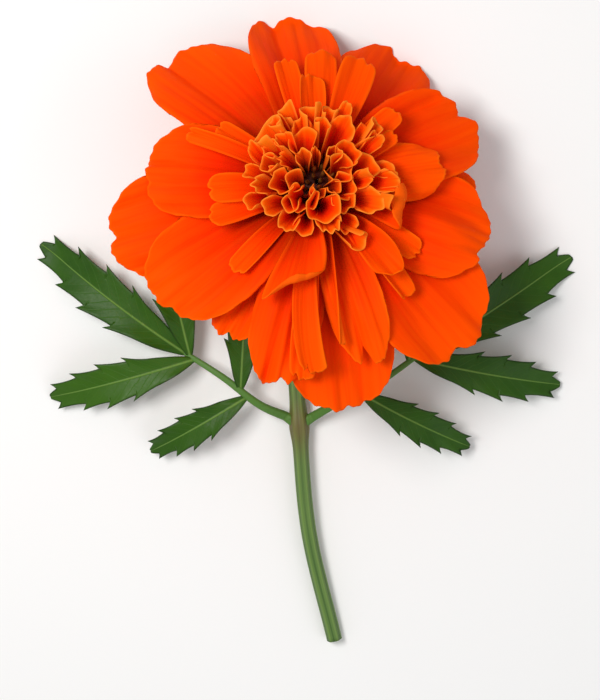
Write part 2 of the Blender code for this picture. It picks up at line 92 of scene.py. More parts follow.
# The broad outer petals: direction round the head in degrees, length and half width in mm,
# level over its neighbours, place and depth of the cleft in its end as shares, and how much
# further its left corner reaches than its right.
OUTER_PETALS = (
    (94, 38.7, 8.6, 1.2, 0.00, 0.03, 0.00),
    (130, 38.0, 9.6, 0.2, -0.35, 0.03, 0.06),
    (172, 27.3, 9.2, 1.7, 0.30, 0.03, 0.03),
    (193, 35.2, 10.0, 0.0, -0.10, 0.03, 0.00),
    (-145, 32.3, 9.6, 1.3, 0.30, 0.04, -0.02),
    (-123, 28.6, 5.8, 0.5, 0.10, 0.06, 0.00),
    (-104, 33.8, 6.4, 1.1, 0.20, 0.04, 0.00),
    (-84, 37.9, 10.4, 0.0, 0.12, 0.03, 0.02),
    (-47, 37.4, 11.4, 0.8, -0.20, 0.03, 0.00),
    (-19, 29.8, 10.0, 1.7, -0.30, 0.04, 0.00),
    (24, 30.0, 9.4, 2.0, 0.15, 0.05, -0.03),
    (56, 35.0, 9.4, 0.4, 0.75, 0.03, -0.03),
    (-2, 27.4, 7.6, 0.3, 0.00, 0.04, 0.00),
)
# The angles at which they leave and end, how much less they fall for each level, how much
# more on the far side, how early they bend, and the radius, height and rise of their roots.
OUTER_LIFT = 34.0
OUTER_FALL = -17.0
LEVEL_FALL = 5.0
FAR_DROOP = 34.0
OUTER_EASE = 2.2
OUTER_ROOT = (4.6 * MM, 1.6 * MM)
LEVEL_RISE = 0.7 * MM
FURROWS = 3

# The broad petals at the bottom of the second ring: direction, length, half width, the angles
# at which the petal leaves and ends, how early it bends, and its cleft and corners as above.
BROAD_PETALS = (
    (7, 20.0, 5.6, 46, -4, 2.0, 0.20, 0.03, 0.00),
    (-75, 31.0, 5.2, 40, -12, 2.0, -0.10, 0.12, 0.02),
)
# The straps over them, the lowest first: direction, length, half width, the angles at which
# the strap leaves and ends, and how far its sides fold up there. Then, where they aren't 0:
# how far its end is twisted, swayed to the left, curled over and slanted.
INNER_PETALS = (
    (101, 21.0, 2.3, 44, -12, 16),
    (85, 22.3, 3.1, 44, -12, 18),
    (68, 22.3, 3.5, 46, -8, 22),
    (92, 16.6, 3.0, 48, -6, 58, 24),
    (40, 17.1, 2.6, 52, 6, 50, -16),
    (30, 14.2, 1.9, 50, 22, 66, 14),
    (-37, 18.6, 2.4, 40, 0, 30),
    (-53, 22.5, 2.8, 34, -4, 80, -16),
    (-98, 32.0, 2.5, 34, -14, 16, 0, 1.0),
    (-102, 30.6, 2.8, 34, -12, 34, -8, 4.8),
    (-84, 26.5, 1.5, 42, -12, 20, 118, 0.4),
    (-134, 19.0, 2.5, 42, 6, 62, 18),
    (198, 17.2, 2.4, 44, 8, 28),
    (184, 16.5, 2.9, 46, 8, 28),
    (149, 17.3, 2.0, 50, 4, 36),
    (157, 21.6, 1.8, 46, -2, 44, -30),
    (-54, 20.5, 4.2, 30, 6, 78, 0, 0, 74),
    (-21, 20.0, 4.2, 28, 28, 20, 0, 0, 180, 0.2),
    (-106, 22.0, 5.0, 16, 8, 14, 0, 0, 152, 0.8),
)
INNER_EASE = 2.0
INNER_ROOT = (5.0 * MM, 3.8 * MM)
INNER_ROOT_FOLD = 52.0

# The large florets of the crest: direction, distance of the lip from the axis and its half
# width in mm, how far it wraps round to each side and how far the floret is turned about its
# own length, in degrees.
LARGE_FLORETS = (
    (-123, 7.7, 2.9, 150, 20),
    (-92, 8.4, 3.3, 150, 0),
    (4, 5.4, 2.8, 158, -14),
    (-28, 6.6, 2.7, 140, 15),
    (-58, 8.2, 2.3, 120, -16),
    (118, 8.8, 3.0, 118, 0),
    (107, 12.4, 2.4, 60, 10),
    (86, 9.2, 1.6, 150, 0),
    (58, 5.4, 1.5, 150, 12),
    (64, 11.9, 2.9, 66, -8),
    (79, 13.4, 1.5, 150, 0),
    (30, 13.4, 1.6, 110, 24),
    (45, 13.4, 1.8, 120, -22),
    (10, 11.0, 2.6, 158, 0),
    (36, 8.4, 2.6, 130, 0),
    (152, 11.4, 1.7, 150, 0),
    (169, 11.2, 1.9, 150, 24),
    (177, 13.6, 1.5, 130, -18),
    (190, 12.6, 2.1, 68, 0),
    (194, 9.2, 2.4, 124, 10),
    (154, 7.6, 1.9, 62, 30),
    (196, 5.8, 2.1, 130, 0),
    (213, 11.8, 2.0, 100, -24),
    (224, 8.8, 1.7, 140, 14),
    (234, 12.4, 2.0, 100, 10),
    (-63, 11.8, 1.9, 120, 0),
    (-30, 11.8, 2.8, 80, 0),
    (-6, 13.4, 2.4, 90, -12),
    (-104, 4.6, 1.5, 140, 0),
    (-46, 3.6, 1.3, 158, 30),
    (132, 5.4, 1.6, 130, -20),
    (-84, 10.6, 2.4, 90, 8),
    (-110, 11.6, 2.0, 120, -14),
    (138, 14.2, 3.3, 155, 0),
    (136, 9.4, 1.8, 120, 16),
)
# Direction and distance of places in the crest that stay free of small florets.
CREST_FREE = ((-94, 14.0), (-44, 16.0))
# The small florets between them, set by the golden angle.
CREST_FLORETS = 54
GOLDEN_ANGLE = 137.508
CREST_REACH = 16.5 * MM
CREST_CLEAR = 2.7 * MM
# A floret's values at the middle of the crest and at its edge. Lift and fall are the angles
# at which it leaves the button and ends.
CREST_LENGTH = (5.8 * MM, 13.0 * MM)
CREST_HALF_WIDTH = (1.2 * MM, 1.9 * MM)
CREST_LIFT = (90.0, 52.0)
CREST_FALL = (78.0, 20.0)
CREST_EASE = 0.8
CREST_EDGE = 78.0
CREST_ROOT_DEPTH = 1.2 * MM
# The button that they stand on, and the shut florets of the eye.
BUTTON_RADIUS = 7.4 * MM
BUTTON_BASE = 3.2 * MM
BUTTON_DOME = 7.4 * MM
BUTTON_SKIN = 0.3 * MM
EYE_FLORETS = 34
EYE_RADIUS = 3.9 * MM
EYE_EDGE = 36.0
EYE_LEAN = 30.0
EYE_LENGTH = (2.6 * MM, 3.8 * MM)
EYE_THICK = 0.42 * MM

# The calyx, down the head's axis from the plane where the petals leave it.
CALYX_LENGTH = 13.0 * MM
CALYX_RADIUS = 6.3 * MM
CALYX_FOOT_RADIUS = 2.4 * MM
CALYX_BRACTS = 8
CALYX_TOOTH = (-0.9 * MM, 0.9 * MM)
CALYX_WIDEST = 0.72
NECK_RADIUS = 4.8 * MM
DISH_DEPTH = 2.5 * MM
SEAT_GAP = 0.3 * MM

# The stem: its radii, and the places that it passes through, in mm.
STEM_RADIUS = 1.45 * MM
STEM_NECK_RADIUS = 2.25 * MM
STEM_NECK_TAPER = 9.0 * MM
STEM_RIBS = 6
STEM_TOP_STRAIGHT = 1.4 * MM
LEAF_JOINT = Vector((-1.0, -17.0, 2.9)) * MM
JOINT_SWELL = 0.45 * MM
JOINT_REACH = 3 * MM
JOINT_FLUSH = 5 * MM
# The rings of the cut end, as shares of the stem's radius, and how pale each one is.
CUT_RINGS = (0.97, 0.90, 0.55, 0.05)
CUT_PALE = (0.4, 1.0, 1.0, 1.0)
STEM_BEND = ((-0.3, 22.9, 3.6), (-0.8, 18.6, 2.3), (-1.3, 12.0, 1.9), (-1.9, -2.0, 2.1))
STEM_TAIL = ((0.8, -38.0, 2.7), (6.0, -61.0, 1.5))

# The leaves: heading of the leaf stalk in degrees from +X, and its length.
LEAVES = {
    "leaf_left": (147.0, 27.0 * MM),
    "leaf_right": (32.0, 28.0 * MM),
}
LEAF_STALK_RADIUS = 0.75 * MM
LEAF_STALK_START = 3.2 * MM
# The stalk's path: share of its length, and place to the side and above the joint in mm.
LEAF_STALK_BEND = ((0.30, 0.3, 2.8), (0.66, -0.4, 3.4), (1.0, 0.0, 1.6))
# Leaflets: share of the stalk's length, angle from the stalk, length and half width in mm.
LEAFLETS = (
    (0.46, 60, 24.0, 3.5),
    (0.52, -62, 24.5, 3.6),
    (0.90, 46, 31.0, 4.3),
    (0.94, -47, 30.5, 4.3),
    (0.97, -2, 38.0, 4.9),
)
LEAFLET_TEETH = 4
LEAFLET_LIFT = 14.0
LEAFLET_FALL = (-36.0, -30.0)
LEAFLET_FOLD = 8.0

# The stage. The lights: direction from the flower and side in reaches of it, watts, colour.
LIGHTS = {
    "key_light": ((-0.9, 0.7, 2.1), 0.9, 1.15, (1.0, 0.985, 0.96)),
    "fill_light": ((1.4, -1.0, 1.5), 1.6, 0.25, (0.97, 0.985, 1.0)),
}
SKY_STRENGTH = 0.42
FLOOR_REACHES = 12
FLOOR_GAP = 0.05 * MM
FLOOR_GREY = 0.93

# The camera: its lean from straight down, away from the stem and to the right, its lens and
# sensor in mm, and the picture's shape with the free margin round the flower.
CAMERA_BEYOND = radians(10)
CAMERA_RIGHT = radians(3)
LENS = 120.0
SENSOR = 36.0
PICTURE_SHAPE = 600 / 700
PICTURE_MARGIN = 1.07


# ---- shapes ----


def between(ends, share):
    """The value at a share of the way from the first of two ends to the second."""
    return ends[0] + (ends[1] - ends[0]) * share


def running(steps):
    """The sums of the steps so far, from zero."""
    return np.concatenate([[0.0], np.cumsum(steps)])


def bell(distance, width):
    """A bell-shaped curve: exp(-(distance / width)^2)."""
    return np.exp(-((distance / width) ** 2))


def stacked(*values):
    """Values for the same points, side by side in one array."""
    return np.stack(np.broadcast_arrays(*values), axis=-1)


def circle(sides):
    """The angles of points evenly spaced round a circle."""
    return np.linspace(0, 2 * pi, sides, endpoint=False)


def turned(degrees, axis):
    """The matrix of a turn about an axis."""
    return Matrix.Rotation(radians(degrees), 4, axis)


def head_matrix():
    """From the head's own frame, with its axis along +Z, to the table's."""
    lean = turned(HEAD_LEAN_RIGHT, "Y") @ turned(-HEAD_LEAN_BACK, "X")
    return Matrix.Translation(HEAD_CENTRE) @ lean


def placed(points, matrix):
    """An array of points, moved by a matrix."""
    turn = np.array(matrix)[:3, :3]
    return points @ turn.T + np.array(matrix)[:3, 3]


def on_head(points):
    """Points in the head's own frame, moved to the table's."""
    return placed(points, head_matrix())


def turned_out(points, azimuth, radius, height):
    """Points of a blade, turned round the Z axis and set out on a circle about it."""
    return placed(points, turned(azimuth, "Z") @ Matrix.Translation((radius, 0.0, height)))


def settled(points, thickness):
    """Points that would sink into the table are eased up until the sheet lies on it.

    Within the height E of the table a height h becomes (h + E)^2 / 4E, and below that zero.
    """
    floor = thickness / 2
    above = points[..., 2] - floor
    eased = np.maximum(above + TABLE_EASE, 0.0) ** 2 / (4 * TABLE_EASE)
    lying = points.copy()
    lying[..., 2] = floor + np.where(above > TABLE_EASE, above, eased)
    return lying


def rimmed(low, high, count, rim):
    """Evenly spaced values with one more, very near each end, for a thin rounded rim."""
    inner = np.linspace(low, high, count)
    span = high - low
    return np.concatenate([[low], [low + rim * span], inner[1:-1], [high - rim * span], [high]])


def blade_grid(grid, tip_rim, side_rim):
    """Shares along a blade, as a column from 0 to 1, and across it, as a row from -1 to 1."""
    rows, columns = grid
    return rimmed(0.0, 1.0, rows, tip_rim)[:, None], rimmed(-1.0, 1.0, columns, side_rim)[None, :]


def margin_distance(along, across, width, length):
    """How far each point is from the nearest of a blade's sides, its tip and its root."""
    edge = np.minimum((1 - np.abs(across)) * width, (1 - along) * length)
    edge[0] = 0.0
    return edge


def blade(share, across, half_width, length, bend, fold, lifted):
    """Middle surface of a petal or leaflet, root at the origin, pointing along +X.

    At the share t of its length the centre line slopes at
    fall + (lift - fall)(1 - t)^ease + curl t^4, where bend is (lift, fall, ease, curl, twist).
    Across it is an arc of radius half_width / fold that turns through fold on each side, and
    lifted is added along the normal. The arc leans over by twist t.
    """
    lift, fall, ease, curl, twist = (*bend, 0, 0)[:5]
    steps = np.linspace(0.0, 1.2, 121)
    angles = fall + (lift - fall) * np.clip(1 - steps, 0, 1) ** ease + curl * steps**4
    angles = radians(angles)
    middle = (angles[1:] + angles[:-1]) / 2
    run = running(cos(middle)) * length * 0.01
    rise = running(sin(middle)) * length * 0.01
    slope = np.interp(share, steps, angles)
    turn = radians(fold) * across
    bend_radius = half_width / radians(fold)
    off = bend_radius * (1 - cos(turn)) + lifted
    aside = bend_radius * sin(turn)
    lean = radians(twist) * share
    beside = aside * cos(lean) - off * sin(lean)
    above = aside * sin(lean) + off * cos(lean)
    forward = np.interp(share, steps, run) - above * sin(slope)
    upward = np.interp(share, steps, rise) + above * cos(slope)
    return np.stack([forward, beside, upward], axis=-1)


def normals_of(middle):
    """Unit normals of a grid of points: the cross product of its two directions."""
    found = np.cross(np.gradient(middle, axis=0), np.gradient(middle, axis=1))
    size = np.linalg.norm(found, axis=-1, keepdims=True)
    return found / np.maximum(size, 1e-12)


class Piece:
    """Gathers surfaces and builds them as one mesh, with six marks at each point.

    Its finish reads them: the share along, the share across and the distance from the margin
    in mm, then a tone, which face it is, and one more value of the piece's own.
    """

    def __init__(self, name):
        self.name = name
        self.count = 0
        self.points = []
        self.faces = []
        self.marks = []

    def add(self, points, faces, marks):
        """Adds points with their faces, given as arrays of point numbers."""
        self.points.append(points)
        for group in faces:
            self.faces.extend((group + self.count).tolist())
        self.marks.append(marks)
        self.count += len(points)

    def add_blade(self, middle, thickness, edge, along, across, tone, own):
        """A closed thin blade: both faces lie half the thickness off the middle surface.

        The thickness falls to nothing as the square root of the distance from the margin,
        whose points both faces share.
        """
        rows, columns = middle.shape[:2]
        taper = sqrt(np.clip(edge / RIM_DEPTH, 0.0, 1.0))
        off = normals_of(middle) * (taper * thickness / 2)[..., None]
        inside = (slice(1, -1), slice(1, -1))
        face = np.full((rows, columns), 0.5)
        face[inside] = 0.0
        top = np.arange(rows * columns).reshape(rows, columns)
        below = top.copy()
        below[inside] = top.size + np.arange(top[inside].size).reshape(rows - 2, -1)
        upper = stacked(along, across, edge / MM, tone, face, own)
        lower = upper[inside].copy()
        lower[..., 4] = 1.0
        self.add(
            np.concatenate([(middle + off).reshape(-1, 3), (middle - off)[inside].reshape(-1, 3)]),
            [grid_quads(top), grid_quads(below)[:, ::-1]],
            np.concatenate([upper.reshape(-1, 6), lower.reshape(-1, 6)]),
        )

    def add_tube(self, rings, along, across, edge, tone, own):
        """A closed tube from rings of points, both ends shut by one flat face."""
        count, sides = rings.shape[:2]
        ring = np.arange(count * sides).reshape(count, sides)
        quads = grid_quads(np.concatenate([ring, ring[:, :1]], axis=1))
        marks = stacked(along, across, edge, tone, np.zeros((count, sides)), own)
        faces = [quads[:, ::-1], ring[:1], ring[-1:, ::-1]]
        self.add(rings.reshape(-1, 3), faces, marks.reshape(-1, 6))

    def build(self, finish, slot, *replaced):
        """Makes the object, which rides with the whole flower and stands for these nodes."""
        mesh = bpy.data.meshes.new(self.name)
        mesh.from_pydata(np.concatenate(self.points).tolist(), [], self.faces)
        marks = np.concatenate(self.marks).astype(np.float32)
        for name, values in (("place", marks[:, :3]), ("look", marks[:, 3:])):
            layer = mesh.attributes.new(name, "FLOAT_VECTOR", "POINT")
            layer.data.foreach_set("vector", values.ravel())
        mesh.materials.append(finish)
        mesh.shade_smooth()
        made = add_to_scene(self.name, mesh)
        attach(made, "root")
        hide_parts(*replaced)


def with_midpoints(points, axis):
    """A grid of points with one more halfway between each two along an axis."""
    along = np.moveaxis(points, axis, 0)
    found = np.repeat(along, 2, axis=0)[:-1]
    found[1::2] = (along[1:] + along[:-1]) / 2
    return np.moveaxis(found, 0, axis)


class Pile:
    """The petals laid so far, as heights on a square net in the head's frame."""

    def __init__(self):
        self.tops = np.full((PILE_CELLS, PILE_CELLS), -1.0)

    def cells(self, points):
        """Row and column of the net's cell that each point stands over."""
        spot = np.rint(points[..., :2] / PILE_CELL).astype(int) + PILE_CELLS // 2
        return tuple(np.moveaxis(np.clip(spot, 0, PILE_CELLS - 1), -1, 0))

    def lay(self, middle, whole_rows):
        """Lifts a petal until it lies PETAL_GAP over the pile, and adds it to the pile.

        The lift is the most that is needed within PILE_REACH points each way, averaged over
        the same distance, so it is smooth and never too little. A strap rises by whole rows.
        Near the head's axis, where all petals grow together, nothing is lifted.
        """
        need = np.maximum(0.0, self.tops[self.cells(middle)] + PETAL_GAP - middle[..., 2])
        joined, free = PILE_FREE
        out = np.hypot(middle[..., 0], middle[..., 1])
        need *= np.clip((out - joined) / (free - joined), 0, 1)
        if whole_rows:
            need[:] = need.max(axis=1, keepdims=True)
        for pick in (np.max, np.mean):
            for axis in (0, 1):
                sides = [(0, 0), (0, 0)]
                sides[axis] = (PILE_REACH, PILE_REACH)
                padded = np.pad(need, sides, mode="edge")
                windows = np.lib.stride_tricks.sliding_window_view
                need = pick(windows(padded, 2 * PILE_REACH + 1, axis), axis=-1)
        laid = middle.copy()
        laid[..., 2] += need
        close = laid
        for axis in (0, 1, 0, 1):
            close = with_midpoints(close, axis)
        np.maximum.at(self.tops, self.cells(close), close[..., 2])
        return laid


def grid_quads(numbers):
    """Four-sided faces of a grid of point numbers, seen from the side of its normals."""
    a, b = numbers[:-1, :-1], numbers[1:, :-1]
    c, d = numbers[1:, 1:], numbers[:-1, 1:]
    return np.stack([a, b, c, d], axis=-1).reshape(-1, 4)


def far_droop(azimuth):
    """How many degrees further a petal hangs, the more it points away from the stem."""
    return FAR_DROOP * max(0.0, sin(radians(azimuth))) ** 1.5


def margin_wave(across, phase):
    """Uneven small scallops of a margin: three waves whose lengths share no measure."""
    return (
        0.55 * cos(8.3 * across + phase)
        + 0.30 * cos(17.9 * across + 2.3 * phase)
        + 0.28 * cos(36.7 * across + 4.1 * phase)
    )


def petal_shape(length, half_width, bend, cleft_at, cleft_depth, skew, fine):
    """A broad petal: narrow at its root, wide and round at its end, with a waved, cleft margin.

    Its half width is sin(90 u / 0.86)^0.95, and its end falls short by
    0.31(1 - sqrt(1 - v^2)), a bell-shaped cleft and fine scallops. Pleats and broad furrows
    run along it, waves lift it more towards its end, and its margin ripples.
    """
    phase = fine.uniform(0, 2 * pi)
    along, across = blade_grid(PETAL_GRID, 0.006, 0.005)
    claw = 1.9 * MM / half_width
    width = between((claw, 1), sin(pi / 2 * along / 0.86) ** 0.95)
    width = half_width * width * (1 + 0.016 * margin_wave(4.5 * along, phase) * along**2)
    cleft = cleft_depth * bell(across - cleft_at, 0.15)
    rounding = 0.31 * (1 - sqrt(1 - across**2)) - skew * across
    reach = 1 - rounding - cleft - 0.014 * margin_wave(across, phase)
    share = along * reach

    wave = sin(2.0 * pi * across + phase) * along**1.5
    ripple = sin(6 * along + 2 * phase) * across**2
    around = np.arctan2(across, along - 0.35)
    near = np.maximum(np.abs(across), along) ** 6
    frill = (0.34 * sin(7 * around + phase) + 0.15 * sin(19 * around)) * near * MM
    pleat = 0.05 * MM * cos(9.5 * pi * across + phase) * sin(pi * along) ** 0.7
    pleat = pleat + 0.18 * MM * cos(4.3 * pi * across + 2 * phase) * along**1.3
    furrow = 0.0
    for _ in range(FURROWS):
        at = fine.uniform(-0.7, 0.7)
        depth = fine.uniform(0.3, 0.95) * MM
        furrow = furrow - depth * bell(across - at, 0.13) * along**0.7
    lifted = (0.07 * wave + 0.06 * ripple) * half_width + frill * along + pleat + furrow
    fold = 9 + 24 * (1 - along)
    middle = blade(share, across, width, length, bend, fold, lifted)
    return middle, margin_distance(along, across, width, length * reach), along, across


def inner_petal_shape(length, half_width, bend, end_fold, fine):
    """A petal of the second ring: a channelled strap with a blunt, waved, notched end.

    Its half width is sin(90 (u / 0.87)^1.4), its sides fold up by INNER_ROOT_FOLD at its root
    and by end_fold at its end, and its end is round with one shallow notch.
    """
    phase = fine.uniform(0, 2 * pi)
    along, across = blade_grid(STRAP_GRID, 0.008, 0.012)
    claw = 1.3 * MM / half_width
    width = half_width * between((claw, 1), sin(pi / 2 * (along / 0.87) ** 1.4))
    rounding = (0.80 * half_width / length) * (1 - sqrt(1 - across**2))
    notch = 0.035 * bell(across - 0.4 * sin(phase), 0.16)
    reach = 1 - rounding - notch - 0.010 * margin_wave(0.7 * across, phase)
    share = along * reach
    lifted = 0.10 * half_width * sin(4 * across + phase) * along
    around = np.arctan2(across, along - 0.4)
    near = np.maximum(np.abs(across), along) ** 6
    lifted = lifted + 0.22 * MM * sin(6 * around + 2 * phase) * near * along
    lifted = lifted + 0.05 * MM * cos(5.5 * pi * across + phase) * sin(pi * along)
    fold = between((INNER_ROOT_FOLD, end_fold), along)
    middle = blade(share, across, width, length, bend, fold, lifted)
    return middle, margin_distance(along, across, width, length), along, across


def floret_shape(length, half_width, opened, bend, fine):
    """A crest floret: a slit tube that opens into a cup with a flared lip of uneven lobes.

    Half its girth grows from the foot's to the lip's as u^1.5, and its wrap falls from 165
    degrees to the lip's as u^1.2. Its slit side is cut back, more at one edge than the other.
    A lip that wraps less than 120 degrees is round.
    """
    phase = fine.uniform(0, 2 * pi)
    lobes = fine.uniform(1.2, 2.4)
    cut_back = fine.uniform(0.3, 1.0) * max(0.02, 0.26 - opened / 660)
    uneven = fine.uniform(-0.08, 0.08)
    chord = sin(radians(min(opened, 90)))
    lip = 0.95 * half_width * radians(opened) / chord
    along, across = blade_grid(FLORET_GRID, 0.012, 0.007)
    foot = 1.5 * MM
    width = between((foot, lip), along**1.5)
    fold = between((165, opened), along**1.2)
    lobe = 0.5 + 0.5 * cos(lobes * pi * across + phase)
    notch = 0.05 * (1 - lobe) + 0.006 * cos(13 * across + 2 * phase)
    rounding = 0.24 * min(1.0, max(0.0, 2 - opened / 60)) * (1 - sqrt(1 - across**2))
    reach = 1 - cut_back * np.abs(across) ** 1.8 - uneven * across - notch - rounding
    share = along * reach
    crimp = sin(2 * lobes * pi * across + phase) + 0.4 * sin(5.3 * lobes * across)
    groove = 0.07 * MM * cos(6 * pi * across) * sin(pi * along)
    lifted = 0.15 * half_width * crimp * along**4 + groove
    middle = blade(share, across, width, length, bend, fold, lifted)
    return middle, margin_distance(along, across, width, length * reach), along, across


def on_button(polar, depth):
    """Radius and height on the button, at an angle from its axis and a depth under its skin."""
    radius = (BUTTON_RADIUS - depth) * sin(polar)
    return radius, BUTTON_BASE + (BUTTON_DOME - depth) * cos(polar)


def lip_at(azimuth, distance):
    """The place of a floret's lip, seen along the axis."""
    around = radians(azimuth)
    return Vector((cos(around), sin(around))) * distance


def crest_places(draw):
    """Yields direction, lip distance, half width, wrap and turn for every crest floret.

    The small ones follow the large ones: each is a golden angle on from the last, further out
    as the square root of its number, and is left out where it would crowd another's lip.
    """
    lips = [lip_at(azimuth, distance * MM) for azimuth, distance in CREST_FREE]
    for azimuth, distance, half_width, opened, turn in LARGE_FLORETS:
        lips.append(lip_at(azimuth, distance * MM))
        yield azimuth, distance * MM, half_width * MM, opened, turn
    for n in range(CREST_FLORETS):
        azimuth = n * GOLDEN_ANGLE + draw.uniform(-12, 12)
        out = sqrt((n + 0.5) / CREST_FLORETS)
        distance = CREST_REACH * out**1.15
        half_width = between(CREST_HALF_WIDTH, out) * draw.uniform(0.65, 1.3)
        opened, turn = draw.uniform(70, 160), draw.uniform(-55, 55)
        lip = lip_at(azimuth, distance)
        clear = min((lip - other).length for other in lips)
        if clear > CREST_CLEAR and distance > EYE_RADIUS:
            lips.append(lip)
            yield azimuth, distance, half_width, opened, turn


def lay_petal(piece, pile, middle, marks, own, whole_rows=False):
    """Lays one petal on the pile and adds it to a piece."""
    middle = settled(on_head(pile.lay(middle, whole_rows)), PETAL_THICKNESS)
    piece.add_blade(middle, PETAL_THICKNESS, *marks, own)


def make_outer_petals(finish, pile, fine):
    """The broad outer petals, each laid over those of a lower level."""
    shapes = []
    for azimuth, length, half_width, level, *end in OUTER_PETALS:
        fall = OUTER_FALL + LEVEL_FALL * level - far_droop(azimuth)
        bend = (OUTER_LIFT, fall, OUTER_EASE)
        middle, *marks = petal_shape(length * MM, half_width * MM, bend, *end, fine)
        radius, height = OUTER_ROOT
        middle = turned_out(middle, azimuth, radius, height + LEVEL_RISE * level)
        shapes.append((level, middle, [*marks, fine.random()]))
    outer = Piece("outer_petals")
    for _, middle, marks in sorted(shapes, key=lambda shape: shape[0]):
        lay_petal(outer, pile, middle, marks, 0.0)
    outer.build(finish, "petal", "bloom")


def make_inner_petals(finish, pile, fine):
    """The second ring: broad petals, then straps, each laid over those before it.

    A strap with a slant reaches less far on its left, and sway pushes its end aside as the
    cube of the share along.
    """
    inner = Piece("inner_petals")
    for azimuth, length, half_width, lift, fall, ease, *end in BROAD_PETALS:
        bend = (lift, fall, ease)
        middle, *marks = petal_shape(length * MM, half_width * MM, bend, *end, fine)
        middle = turned_out(middle, azimuth, *INNER_ROOT)
        lay_petal(inner, pile, middle, [*marks, fine.random()], 1.0)
    for azimuth, length, half_width, lift, fall, end_fold, *rare in INNER_PETALS:
        twist, sway, curl, slant = (*rare, 0, 0, 0, 0)[:4]
        bend = (lift, fall, INNER_EASE, curl, twist)
        middle, *marks = inner_petal_shape(length * MM, half_width * MM, bend, end_fold, fine)
        middle[..., 0] -= slant * middle[..., 1]
        middle[..., 1] += sway * MM * marks[1] ** 3
        middle = turned_out(middle, azimuth, *INNER_ROOT)
        lay_petal(inner, pile, middle, [*marks, fine.random()], 1.0, whole_rows=True)
    inner.build(finish, "petal", "bloom")


def make_crest(finish, fine):
    """The crest: florets rooted all over the button, upright in its middle and leaning out."""
    draw = random.Random(SEED)
    crest = Piece("crest_florets")
    for azimuth, distance, half_width, opened, turn in crest_places(draw):
        out = (distance / CREST_REACH) ** 0.87
        length = between(CREST_LENGTH, out) * draw.uniform(0.90, 1.12)
        lift = between(CREST_LIFT, out)
        fall = between(CREST_FALL, out**1.4) + draw.uniform(-12, 12)
        middle, *marks = floret_shape(length, half_width, opened, (lift, fall, CREST_EASE), fine)
        steep = Vector((cos(radians(lift)), 0.0, sin(radians(lift))))
        middle = placed(middle, turned(turn, steep))
        root = on_button(radians(CREST_EDGE * out), CREST_ROOT_DEPTH)
        middle = on_head(turned_out(middle, azimuth, *root))
        crest.add_blade(middle, FLORET_THICKNESS, *marks, fine.random(), 1 - out)
    crest.build(finish, "petal", "bloom")


def make_eye(finish, fine):
    """The eye: shut florets in the middle of the crest, with the button under all florets."""
    eye = Piece("eye_florets")
    for n in range(EYE_FLORETS):
        out = sqrt((n + 0.5) / EYE_FLORETS)
        rings, along, around = closed_floret(fine.uniform(*EYE_LENGTH), EYE_THICK)
        lean = turned(EYE_LEAN * out + fine.uniform(-6, 6), "Y")
        root = on_button(radians(EYE_EDGE * out), CREST_ROOT_DEPTH)
        rings = turned_out(placed(rings, lean), n * GOLDEN_ANGLE, *root)
        eye.add_tube(on_head(rings), along, around, 1.0, fine.random(), out)
    rings, below, around = button_shape()
    eye.add_tube(on_head(rings), below, around, 1.0, 1.0, 1.0)
    eye.build(finish, "petal", "bloom")


def make_head(petal, floret, shut_floret):
    """Outer petals, second ring, crest and eye, each ring as one piece with its finish."""
    fine = random.Random(SEED + 1)
    pile = Pile()
    make_outer_petals(petal, pile, fine)
    make_inner_petals(petal, pile, fine)
    make_crest(floret, fine)
    make_eye(shut_floret, fine)


def closed_floret(length, radius):
    """A tiny floret still shut: a round rod that swells, then draws in to a blunt, ribbed tip.

    Its radius is (0.75 + 0.45 u) sqrt(1 - u^5), with five low ribs.
    """
    along = np.linspace(0.0, 1.0, 9)[:, None]
    around = circle(10)[None, :]
    swell = radius * (0.75 + 0.45 * along) * sqrt(np.clip(1.001 - along**5, 0, 1))
    swell = swell * (1 + 0.10 * cos(5 * around) * along)
    return rings_about_axis(swell, along * length, around)[:, ::-1], along, around / (2 * pi)


def rings_about_axis(radius, height, around):
    """Rings of points about the Z axis, from radii, heights and angles."""
    return stacked(radius * cos(around), radius * sin(around), height)


def button_shape():
    """The button that every floret grows from: a straight neck, then half an ellipse."""
    around = circle(64)[None, :]
    radius, height = on_button(radians(np.linspace(104, 4, 30)), BUTTON_SKIN)
    radius = np.concatenate([[NECK_RADIUS - 0.5 * MM, NECK_RADIUS, NECK_RADIUS], radius])[:, None]
    height = np.concatenate([[-2.2 * MM, -1.1 * MM, 1.1 * MM], height])[:, None]
    below = np.clip(1 - height / BUTTON_BASE, 0, 1)
    return rings_about_axis(radius, height, around)[:, ::-1], below, around / (2 * pi)


